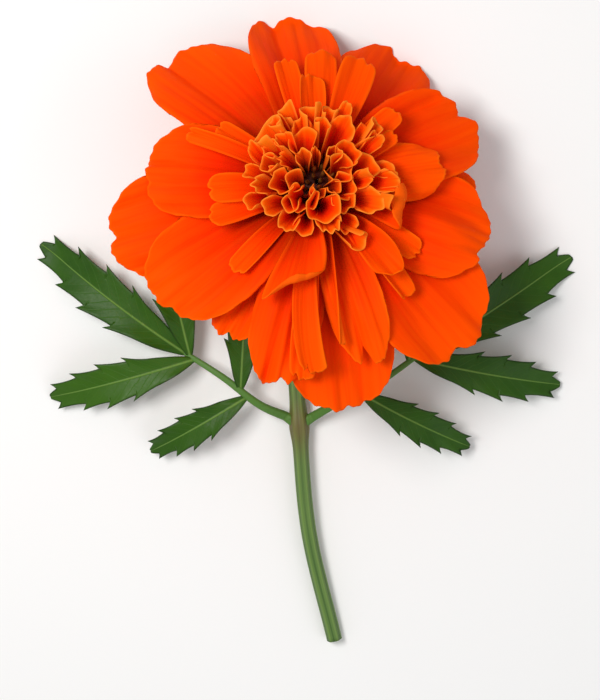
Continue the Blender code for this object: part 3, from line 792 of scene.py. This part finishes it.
def make_cup(finish):
    """The calyx: bracts grown together into a cup, each a rounded rib that ends in a tooth.

    Its radius swells as sin(90 s / 0.72)^0.8 from foot to rim. The ribs stand out by
    |cos(4 angle)|, so that a sharp groove lies between two bracts.
    """
    angles = circle(20 * CALYX_BRACTS)[None, :]
    lobe = np.abs(cos(CALYX_BRACTS * angles / 2))
    share = np.concatenate([[0.0], np.linspace(0.015, 0.97, 44)])[:, None]
    swell = sin(pi / 2 * np.minimum(1.0, share / CALYX_WIDEST)) ** 0.8
    radius = between((CALYX_FOOT_RADIUS, CALYX_RADIUS), swell)
    rib = 1 + (0.065 * lobe**0.7 - 0.04) * np.minimum(1, 6 * share)
    keel = 0.012 * bell(1 - lobe, 0.02) * np.minimum(1, 3 * share)
    tooth = between(CALYX_TOOTH, lobe**0.8)
    rise = -CALYX_LENGTH * (1 - share) + tooth * share**8
    inside = NECK_RADIUS + SEAT_GAP
    lip = CALYX_RADIUS * (1.0 + 0.03 * lobe)
    turned_in = (
        (lip, tooth),
        (lip - 0.25 * MM, tooth + 0.1 * MM),
        (lip - 0.5 * MM, tooth - 0.05 * MM),
        (inside + 0.2 * MM, tooth - 0.4 * MM),
        (inside, -0.6 * DISH_DEPTH),
        (inside - 0.5 * MM, -DISH_DEPTH),
        (0.3 * MM, -DISH_DEPTH),
    )
    flat = np.zeros_like(lobe)
    wide = np.concatenate([radius * (rib + keel), *[width + flat for width, _ in turned_in]])
    high = np.concatenate([rise, *[height + flat for _, height in turned_in]])
    rings = on_head(rings_about_axis(wide, high, angles))[:, ::-1]
    along = np.clip(1 + high / CALYX_LENGTH, 0, 1.2)
    cup = Piece("bract_cup")
    cup.add_tube(rings, along, angles[:, ::-1] / (2 * pi), 1.0, 0.5, lobe[:, ::-1])
    cup.build(finish, "calyx", "calyx")


def smooth_path(knots, steps):
    """Points on a smooth curve through the knots, steps of them to each span.

    Each span is a cubic whose slopes at its knots come from the neighbours on both sides.
    """
    knots = np.array(knots)
    spans = np.linalg.norm(np.diff(knots, axis=0), axis=1)
    slopes = np.gradient(knots, running(spans), axis=0)
    t = (np.arange(steps) / steps)[None, :, None]
    span = spans[:, None, None]
    found = (
        knots[:-1, None] * (1 + 2 * t) * (1 - t) ** 2
        + slopes[:-1, None] * span * t * (1 - t) ** 2
        + knots[1:, None] * t**2 * (3 - 2 * t)
        - slopes[1:, None] * span * t**2 * (1 - t)
    )
    return np.concatenate([found.reshape(-1, 3), knots[-1:]])


def tube_rings(path, radii, angles):
    """Rings of points round a path. radii has a value for each ring and each angle.

    Each point stands off the path by its radius, at its angle in the plane square to the path.
    """
    tangents = np.gradient(path, axis=0)
    tangents /= np.linalg.norm(tangents, axis=1)[:, None]
    beside = np.cross(tangents, (0.0, 0.0, 1.0))
    beside /= np.linalg.norm(beside, axis=1)[:, None]
    above = np.cross(beside, tangents)
    out = cos(angles)[None, :, None] * beside[:, None]
    out = out + sin(angles)[None, :, None] * above[:, None]
    return path[:, None] + radii[..., None] * out


def make_stem(finish):
    """The ribbed stem: widest under the calyx, swollen at the leaf joint, cut square.

    Its radius adds a bell-shaped swelling at each of the two to an even one. Its ribs follow
    cos(6 angle) + 0.35 cos(18 angle). Its last rings draw in at one place, which is the cut.
    """
    down = -(head_matrix().to_3x3() @ Vector((0.0, 0.0, 1.0)))
    top = HEAD_CENTRE + down * (CALYX_LENGTH + SEAT_GAP - 0.6 * MM)
    bend = [Vector(point) * MM for point in STEM_BEND]
    tail = [Vector(point) * MM for point in STEM_TAIL]
    path = smooth_path([top, top + down * STEM_TOP_STRAIGHT, *bend, LEAF_JOINT, *tail], 26)
    from_top = np.linalg.norm(path - path[0], axis=1)
    from_joint = np.linalg.norm(path - np.array(LEAF_JOINT), axis=1)
    radii = (
        STEM_RADIUS
        + (STEM_NECK_RADIUS - STEM_RADIUS) * bell(from_top, STEM_NECK_TAPER)
        + JOINT_SWELL * bell(from_joint, JOINT_REACH)
    )
    radii[-1] = STEM_RADIUS
    angles = circle(72)
    ridge = cos(STEM_RIBS * angles)[None, :] + 0.35 * cos(3 * STEM_RIBS * angles)[None, :]
    rings = tube_rings(path, radii[:, None] * (1 + 0.045 * ridge), angles)
    drawn_in = np.array(CUT_RINGS)[:, None, None]
    rings = np.concatenate([rings, path[-1] + (rings[-1] - path[-1]) * drawn_in])
    lengths = running(np.linalg.norm(np.diff(path, axis=0), axis=1))

    def column(value, at_cut):
        """The values at the rings of the stem, and then at those of its cut."""
        rings = np.broadcast_to(value, len(path)), np.broadcast_to(at_cut, len(CUT_RINGS))
        return np.concatenate(rings)[:, None]

    along = column(lengths / MM, lengths[-1] / MM)
    centre = column(1.0, CUT_RINGS)
    flush = column(bell(from_joint, JOINT_FLUSH), 0.0)
    cut = column(0.0, CUT_PALE)
    stem = Piece("ribbed_stem")
    stem.add_tube(rings, along, ridge, centre, flush, cut)
    stem.build(finish, "stem", "stem")


def leaflet_shape(length, half_width, lift, fall, fine):
    """A leaflet: entire near its foot, then sharp teeth that point forward, folded on its rib.

    Its half width is 0.84(0.12 + 0.88 sin(180 u^1.05)^0.8). Up to each tooth the margin
    swells as the way from the notch behind to the power 2.6, and past it drops at once.
    Its sides rise as |v|, with low sine waves along them.
    """
    notches = np.linspace(0.40, 0.92, LEAFLET_TEETH)
    teeth = notches - 0.02
    rows, columns = LEAFLET_GRID
    along = np.unique(np.concatenate([np.linspace(0, 0.994, rows), teeth, notches, [1.0]]))
    turns = np.sort(np.concatenate([[0.26], teeth, notches]))
    saw = np.interp(along, turns, np.arange(len(turns)) % 2)
    rise = np.where(np.searchsorted(turns, along) % 2, saw**2.6, saw)
    along, rise = along[:, None], rise[:, None]
    form = 0.12 + 0.88 * sin(pi * along**1.05) ** 0.8
    width = half_width * (0.84 * form + 0.30 * rise * (1.05 - 0.4 * along))
    width[-1] = 0.12 * MM
    across = rimmed(-1.0, 1.0, columns, 0.01)[None, :]
    aside = np.abs(across)
    share = along + 0.055 * rise * aside**3
    keel = 0.14 * width * aside
    sway = 0.012 * length * sin(2 * pi * along) * across
    phase = fine.uniform(0, 6.28)
    quilt = 0.10 * MM * cos(34 * (along - 0.14 * aside)) * aside
    ripple = 0.28 * MM * sin(17 * along + phase + across) * across**2
    lifted = keel + sway + quilt + ripple
    middle = blade(share, across, width, length, (lift, fall, 1.0), LEAFLET_FOLD, lifted)
    return middle, margin_distance(along, across, width, length), along, across, width


def make_leaf(node, finish):
    """A leaf: its grooved stalk, with toothed leaflets in pairs and one at the end.

    The stalk tapers evenly from the joint. Its groove is a bell-shaped hollow on its top.
    """
    heading, reach = LEAVES[node]
    knots = [(LEAF_STALK_START, 0.0, 0.0)]
    knots += [(share * reach, side * MM, up * MM) for share, side, up in LEAF_STALK_BEND]
    path = smooth_path([LEAF_JOINT + turned(heading, "Z") @ Vector(knot) for knot in knots], 14)
    shares = np.linspace(0.0, 1.0, len(path))
    leaf = Piece(node.replace("leaf_", "") + "_leaf")

    foot = np.linspace(np.array(LEAF_JOINT), path[0], 8)[:-1]
    whole = np.concatenate([foot, path])
    taper = [np.linspace(1.7, 1.3, len(foot)), np.linspace(1.25, 0.7, len(path))]
    radii = LEAF_STALK_RADIUS * np.concatenate(taper)
    angles = circle(20)
    groove = 1 - 0.22 * bell(angles - pi / 2, 0.5)
    rings = tube_rings(whole, radii[:, None] * groove, angles)
    along = np.linspace(0, 1, len(whole))[:, None]
    leaf.add_tube(rings, along, angles / (2 * pi), 1.0, 0.5, -1.0)

    draw = random.Random(heading)
    fine = random.Random(int(heading) + 1)
    for share, angle, long, half_width in LEAFLETS:
        root = [np.interp(share, shares, path[:, k]) for k in range(3)]
        length = long * draw.uniform(0.93, 1.05) * MM
        fall = draw.uniform(*LEAFLET_FALL)
        shape = leaflet_shape(length, half_width * MM, LEAFLET_LIFT, fall, fine)
        middle, edge, along, across, width = shape
        outward = turned(heading + angle + draw.uniform(-5, 5), "Z")
        middle = placed(middle, Matrix.Translation(root) @ outward)
        middle = settled(middle, LEAF_THICKNESS)
        rib = np.abs(across) * width / MM
        leaf.add_blade(middle, LEAF_THICKNESS, edge, along, across, fine.random(), rib)
    leaf.build(finish, "leaf", node)


# ---- finishes ----


def math_node(operation, swapped=False, held=False):
    """A method of Value that adds the Math node of this operation."""

    def method(self, other=0.0):
        """The operation on this value and the other, or on the other and this one."""
        terms = (other, self) if swapped else (self, other)
        settings = {"operation": operation, "use_clamp": held}
        return self.finish.node("ShaderNodeMath", settings, dict(enumerate(terms)))

    return method


class Value:
    """A socket that takes part in sums: each operator adds the Math node for it.

    The reflected forms let a number stand first, as in 1 - value.
    """

    def __init__(self, finish, socket):
        self.finish = finish
        self.socket = socket

    __add__ = __radd__ = math_node("ADD")
    __sub__ = math_node("SUBTRACT")
    __rsub__ = math_node("SUBTRACT", swapped=True)
    __mul__ = __rmul__ = math_node("MULTIPLY")
    __truediv__ = math_node("DIVIDE")
    __rtruediv__ = math_node("DIVIDE", swapped=True)
    __pow__ = math_node("POWER")
    __rpow__ = math_node("POWER", swapped=True)
    # The sine of the value, the value without its sign, and the value held between 0 and 1.
    wave = math_node("SINE")
    size = math_node("ABSOLUTE")
    clamped = math_node("ADD", held=True)


class Finish:
    """One material: nodes come from node(), and sums are written as Python expressions."""

    def __init__(self, name, shine):
        self.material = bpy.data.materials.new(name)
        self.material.use_nodes = True
        self.tree = self.material.node_tree
        self.shader = self.tree.nodes["Principled BSDF"]
        self.shader.inputs["Specular IOR Level"].default_value = shine

    def node(self, kind, settings, sockets, output=0):
        """Adds a node: its settings or a ramp's stops, then its sockets' values or links."""
        made = self.tree.nodes.new(kind)
        for name, value in settings.items():
            if name == "stops":
                elements = made.color_ramp.elements
                elements.remove(elements[1])
                for n, (place, colour) in enumerate(value):
                    at = elements[0] if n == 0 else elements.new(place)
                    at.position = place
                    at.color = (*colour, 1.0)
            else:
                setattr(made, name, value)
        for name, value in sockets.items():
            self.join(value, made.inputs[name])
        return Value(self, made.outputs[output])

    def join(self, value, socket):
        """Links a value to a socket, or sets the socket to a number or a colour."""
        if isinstance(value, Value):
            self.tree.links.new(value.socket, socket)
        elif isinstance(value, tuple):
            socket.default_value = (*value, 1.0)
        else:
            socket.default_value = value

    def shade(self, **sockets):
        """Feeds the shader: base_color, roughness, normal and so on."""
        for name, value in sockets.items():
            self.join(value, self.shader.inputs[name.replace("_", " ").title()])
        return self.material

    def marks(self):
        """The six values that each point of a piece carries: its place, then its look."""
        found = []
        for name in ("place", "look"):
            vector = self.node("ShaderNodeAttribute", {"attribute_name": name}, {}, "Vector")
            for n in range(3):
                found.append(self.node("ShaderNodeSeparateXYZ", {}, {0: vector}, n))
        return found

    def vector(self, x, y, z):
        """A vector from three values."""
        return self.node("ShaderNodeCombineXYZ", {}, {0: x, 1: y, 2: z})

    def noise(self, vector, scale, detail=3.0, roughness=0.55):
        """Soft noise from 0 to 1 at a vector."""
        sockets = {"Vector": vector, "Scale": scale, "Detail": detail, "Roughness": roughness}
        return self.node("ShaderNodeTexNoise", {}, sockets)

    def here(self):
        """The object's own coordinates, in metres."""
        return self.node("ShaderNodeTexCoord", {}, {}, "Object")

    def mix(self, factor, first, second):
        """The first colour at a factor of 0 or less, turning to the second at 1 or more."""
        sockets = {0: factor, 6: first, 7: second}
        return self.node("ShaderNodeMix", {"data_type": "RGBA"}, sockets, 2)

    def ramp(self, factor, *stops):
        """A colour that depends on a factor, from (place, colour) stops."""
        return self.node("ShaderNodeValToRGB", {"stops": stops}, {0: factor})

    def bump(self, height, strength, distance):
        """The normal of a surface raised by a height from 0 to 1 times a distance."""
        sockets = {"Height": height, "Strength": strength, "Distance": distance}
        return self.node("ShaderNodeBump", {}, sockets)


def petal_finish():
    """Velvety petals: red-orange at the root, deepened there by painted shade, orange outwards,
    nerves along, a pale thin rim that is partly a painted highlight.
    """
    finish = Finish("orange_petal", 0.02)
    along, across, edge, tone, under, second = finish.marks()
    nerve_place = finish.vector(across * 11.0, along * 1.3, tone * 40.0)
    nerves = finish.noise(nerve_place, 1.0, 4.0, 0.6)
    blotch = finish.noise(finish.here(), 95.0, 2.0)
    # The deep red towards the root is partly the petal's own colour and partly painted shade,
    # where the crest and the petals over it shade the root and the cleft.
    base = finish.ramp(
        along + (blotch - 0.5) * 0.25,
        (0.0, (0.28, 0.003, 0.0)),
        (0.26, (0.42, 0.005, 0.0)),
        (0.38, (0.62, 0.011, 0.0)),
        (0.50, (0.86, 0.023, 0.0)),
        (0.70, (0.97, 0.046, 0.0)),
        (1.0, (1.0, 0.075, 0.0)),
    )
    pale = tone * 0.2 + second * along * 0.25 + (nerves - 0.5) * 0.5
    base = finish.mix(pale, base, (1.0, 0.105, 0.0))
    base = finish.mix((0.5 - nerves) * 1.1, base, (0.84, 0.022, 0.0))
    # The pale margin, brighter towards the tip, is partly the petal's own colour and partly a
    # painted highlight on its thin edge.
    rim = (1 - edge / 0.6).clamped() * (0.3 + second * 0.2)
    base = finish.mix(rim * along, base, (1.0, 0.17, 0.003))
    base = finish.mix((under - 0.5) * 1.5, base, (0.92, 0.110, 0.003))
    velvet = finish.noise(finish.here(), 5200.0, 1.0)
    relief = nerves * 0.8 + velvet * 0.12
    roughness = 0.62 + (nerves - 0.5) * 0.15
    normal = finish.bump(relief, 0.5, 0.00022)
    return finish.shade(base_color=base, roughness=roughness, normal=normal)


def crest_finish():
    """Trumpet florets: dark red throats and feet, partly painted shade, orange walls, thin light
    lips that are partly a painted highlight, and painted shade darker towards the eye.
    """
    finish = Finish("orange_floret", 0.02)
    along, across, edge, tone, under, heart = finish.marks()
    nerves = finish.noise(finish.vector(across * 6.0, along * 1.2, tone * 40.0), 1.0, 3.0)
    # The throat, and the back after it, turn dark red towards the floret's foot: partly its own
    # colour and partly painted shade deep among the florets.
    throat = finish.ramp(
        along,
        (0.0, (0.40, 0.003, 0.002)),
        (0.45, (0.58, 0.006, 0.002)),
        (0.72, (0.84, 0.026, 0.001)),
        (0.90, (1.0, 0.090, 0.0)),
        (1.0, (1.0, 0.170, 0.004)),
    )
    back = finish.ramp(
        along,
        (0.0, (0.45, 0.015, 0.0)),
        (0.45, (0.90, 0.075, 0.001)),
        (1.0, (1.0, 0.190, 0.006)),
    )
    base = finish.mix(under, throat, back)
    base = finish.mix((nerves - 0.45) * 1.2, base, (1.0, 0.15, 0.004))
    golden = (tone * 1.6 - 0.9).clamped() * along**2.0
    base = finish.mix(golden * 0.6, base, (1.0, 0.22, 0.006))
    # Painted shade: the lower parts of the florets nearest the eye turn almost black, where they
    # stand deepest in the crest.
    eye = (heart * 1.9 - 0.9).clamped() * (1 - along**4.0)
    base = finish.mix(eye, base, (0.05, 0.022, 0.002))
    # The light lips are partly the florets' own colour and partly a painted highlight on their
    # thin edges.
    rim = (1 - edge / 0.7).clamped() ** 1.5 * along
    base = finish.mix(rim * (0.45 + tone * 0.45), base, (1.0, 0.30, 0.03))
    return finish.shade(base_color=base, roughness=0.6, normal=finish.bump(nerves, 0.4, 0.00015))


def eye_finish():
    """Florets still shut: dark green-brown, with a touch of orange at their tips."""
    finish = Finish("dark_eye", 0.3)
    along, _, _, tone, _, out = finish.marks()
    base = finish.ramp(
        along,
        (0.0, (0.07, 0.006, 0.001)),
        (0.6, (0.085, 0.026, 0.004)),
        (1.0, (0.13, 0.070, 0.008)),
    )
    base = finish.mix(out * along * tone, base, (0.75, 0.09, 0.002))
    return finish.shade(base_color=base, roughness=0.55 + tone * 0.1)


def leaf_finish():
    """Leaves: two greens, a light midrib and faint side veins, a dark thin edge."""
    finish = Finish("leaf_green", 0.22)
    along, across, edge, tone, under, rib = finish.marks()
    here = finish.here()
    cloud = finish.noise(here, 130.0, 3.0)
    grain = finish.noise(here, 1900.0, 2.0)
    base = finish.mix(cloud, (0.010, 0.050, 0.002), (0.040, 0.125, 0.003))
    base = finish.mix((tone - 0.5) * 0.6, base, (0.060, 0.165, 0.008))
    side = ((along - across.size() * 0.14) * 46.0).wave().size()
    side_vein = (1 - side * 5.0).clamped() * (1 - along) * 0.35
    base = finish.mix(side_vein, base, (0.10, 0.26, 0.04))
    stalk = (rib * -1.0).clamped()
    midrib = (1 - (rib + stalk * 9.0) / (0.36 - along * 0.22)).clamped()
    base = finish.mix(midrib * 0.8, base, (0.20, 0.36, 0.07))
    base = finish.mix((1 - edge / 0.35).clamped() * 0.8, base, (0.008, 0.022, 0.003))
    base = finish.mix((under - 0.5) * 1.6, base, (0.075, 0.155, 0.055))
    base = finish.mix(stalk, base, (0.085, 0.20, 0.035))
    relief = grain * 0.25 - side_vein * 1.2 + midrib * 0.9 + cloud * 0.6
    return finish.shade(
        base_color=base,
        roughness=0.46 + (grain - 0.5) * 0.2,
        normal=finish.bump(relief, 0.6, 0.00025),
    )


def stem_finish():
    """The stem: light ribs, darker grooves, a red-brown flush at the joint and a pale cut."""
    finish = Finish("stem_green", 0.4)
    along, ridge, centre, flush, _, cut = finish.marks()
    streak = finish.noise(finish.vector(ridge * 1.5, along * 0.06, 0.0), 1.0, 4.0)
    base = finish.mix(ridge * 0.45 + 0.5, (0.050, 0.120, 0.020), (0.140, 0.250, 0.050))
    base = finish.mix((streak - 0.45) * 1.5, base, (0.19, 0.28, 0.07))
    base = finish.mix(flush * 0.55, base, (0.16, 0.065, 0.025))
    face = finish.mix(centre * 1.25 - 0.25, (0.62, 0.66, 0.44), (0.30, 0.42, 0.16))
    base = finish.mix(cut, base, face)
    grain = finish.noise(finish.here(), 2600.0, 2.0)
    relief = finish.bump(streak + grain * 0.4, 0.4, 0.0002)
    return finish.shade(base_color=base, roughness=0.5 + (streak - 0.5) * 0.2, normal=relief)


def cup_finish():
    """The cup: smooth olive green, flushed brown red, pale edges and long oil glands."""
    finish = Finish("cup_green", 0.4)
    along, around, _, _, _, lobe = finish.marks()
    here = finish.here()
    cloud = finish.noise(here, 260.0, 3.0)
    base = finish.mix(cloud, (0.070, 0.105, 0.016), (0.150, 0.185, 0.040))
    flush = ((along - 0.25) * 1.2).clamped() * ((cloud - 0.35) * 2.2).clamped()
    base = finish.mix(flush * 0.75, base, (0.185, 0.070, 0.028))
    base = finish.mix((1 - lobe * 2.2).clamped() * 0.6, base, (0.26, 0.30, 0.12))
    settings = {"feature": "F1", "voronoi_dimensions": "2D"}
    place = finish.vector(around * 48.0, along * 7.0, 0.0)
    cells = finish.node("ShaderNodeTexVoronoi", settings, {"Vector": place, "Scale": 1.0}, 0)
    gland = (1 - cells / 0.26).clamped() * (lobe - 0.2).clamped()
    base = finish.mix(gland * 0.7, base, (0.10, 0.025, 0.008))
    relief = finish.bump(gland * 0.8 + cloud * 0.4, 0.5, 0.0002)
    return finish.shade(base_color=base, roughness=0.42 + cloud * 0.15, normal=relief)


# ---- stage ----


def add_to_scene(name, content):
    """An object with this mesh, lamp or camera in it."""
    made = bpy.data.objects.new(name, content)
    bpy.context.scene.collection.objects.link(made)
    return made


def make_stage():
    """A pale floor, a pale sky and two soft lights that face the flower."""
    scene = bpy.context.scene
    scene.view_settings.view_transform = "Standard"
    low, high = model_box
    middle = (low + high) / 2
    reach = (high - low).length
    paper = Finish("pale_floor", 0.5).shade(base_color=(FLOOR_GREY,) * 3, roughness=0.9)
    mesh = bpy.data.meshes.new("floor")
    side = FLOOR_REACHES * reach
    corners = [(-side, -side), (side, -side), (side, side), (-side, side)]
    mesh.from_pydata([(x, y, low.z - FLOOR_GAP) for x, y in corners], [], [(0, 1, 2, 3)])
    mesh.materials.append(paper)
    floor = add_to_scene("floor", mesh)
    floor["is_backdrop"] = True

    scene.world = bpy.data.worlds.new("pale_sky")
    scene.world.use_nodes = True
    sky = scene.world.node_tree.nodes["Background"].inputs
    sky["Color"].default_value = (1.0, 1.0, 1.0, 1.0)
    sky["Strength"].default_value = SKY_STRENGTH
    for name, (direction, side, watts, colour) in LIGHTS.items():
        lamp = bpy.data.lights.new(name, "AREA")
        lamp.size = side * reach
        lamp.energy = watts
        lamp.color = colour
        light = add_to_scene(name, lamp)
        light.location = middle + Vector(direction) * reach
        light.rotation_euler = (-Vector(direction)).to_track_quat("-Z", "Y").to_euler()


def make_camera():
    """Looks down on the flower, a few degrees towards the axis of the head."""
    low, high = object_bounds()
    middle = (low + high) / 2
    lens = bpy.data.cameras.new("camera")
    lens.lens = LENS
    lens.sensor_width = SENSOR
    lens.clip_start = 0.01
    lens.clip_end = 20.0
    spread = max(high.y - low.y, (high.x - low.x) / PICTURE_SHAPE) * PICTURE_MARGIN
    back = Vector((sin(CAMERA_RIGHT), sin(CAMERA_BEYOND), 1.0)).normalized()
    across = Vector((0.0, 1.0, 0.0)).cross(back).normalized()
    turn = Matrix((across, back.cross(across), back)).transposed()
    camera = add_to_scene("camera", lens)
    camera.location = Vector((middle.x, middle.y, high.z * 0.4)) + back * spread * LENS / SENSOR
    camera.rotation_euler = turn.to_euler()
    bpy.context.scene.camera = camera


make_head(petal_finish(), crest_finish(), eye_finish())
make_cup(cup_finish())
make_stem(stem_finish())
green = leaf_finish()
for node in LEAVES:
    make_leaf(node, green)
make_stage()
make_camera()
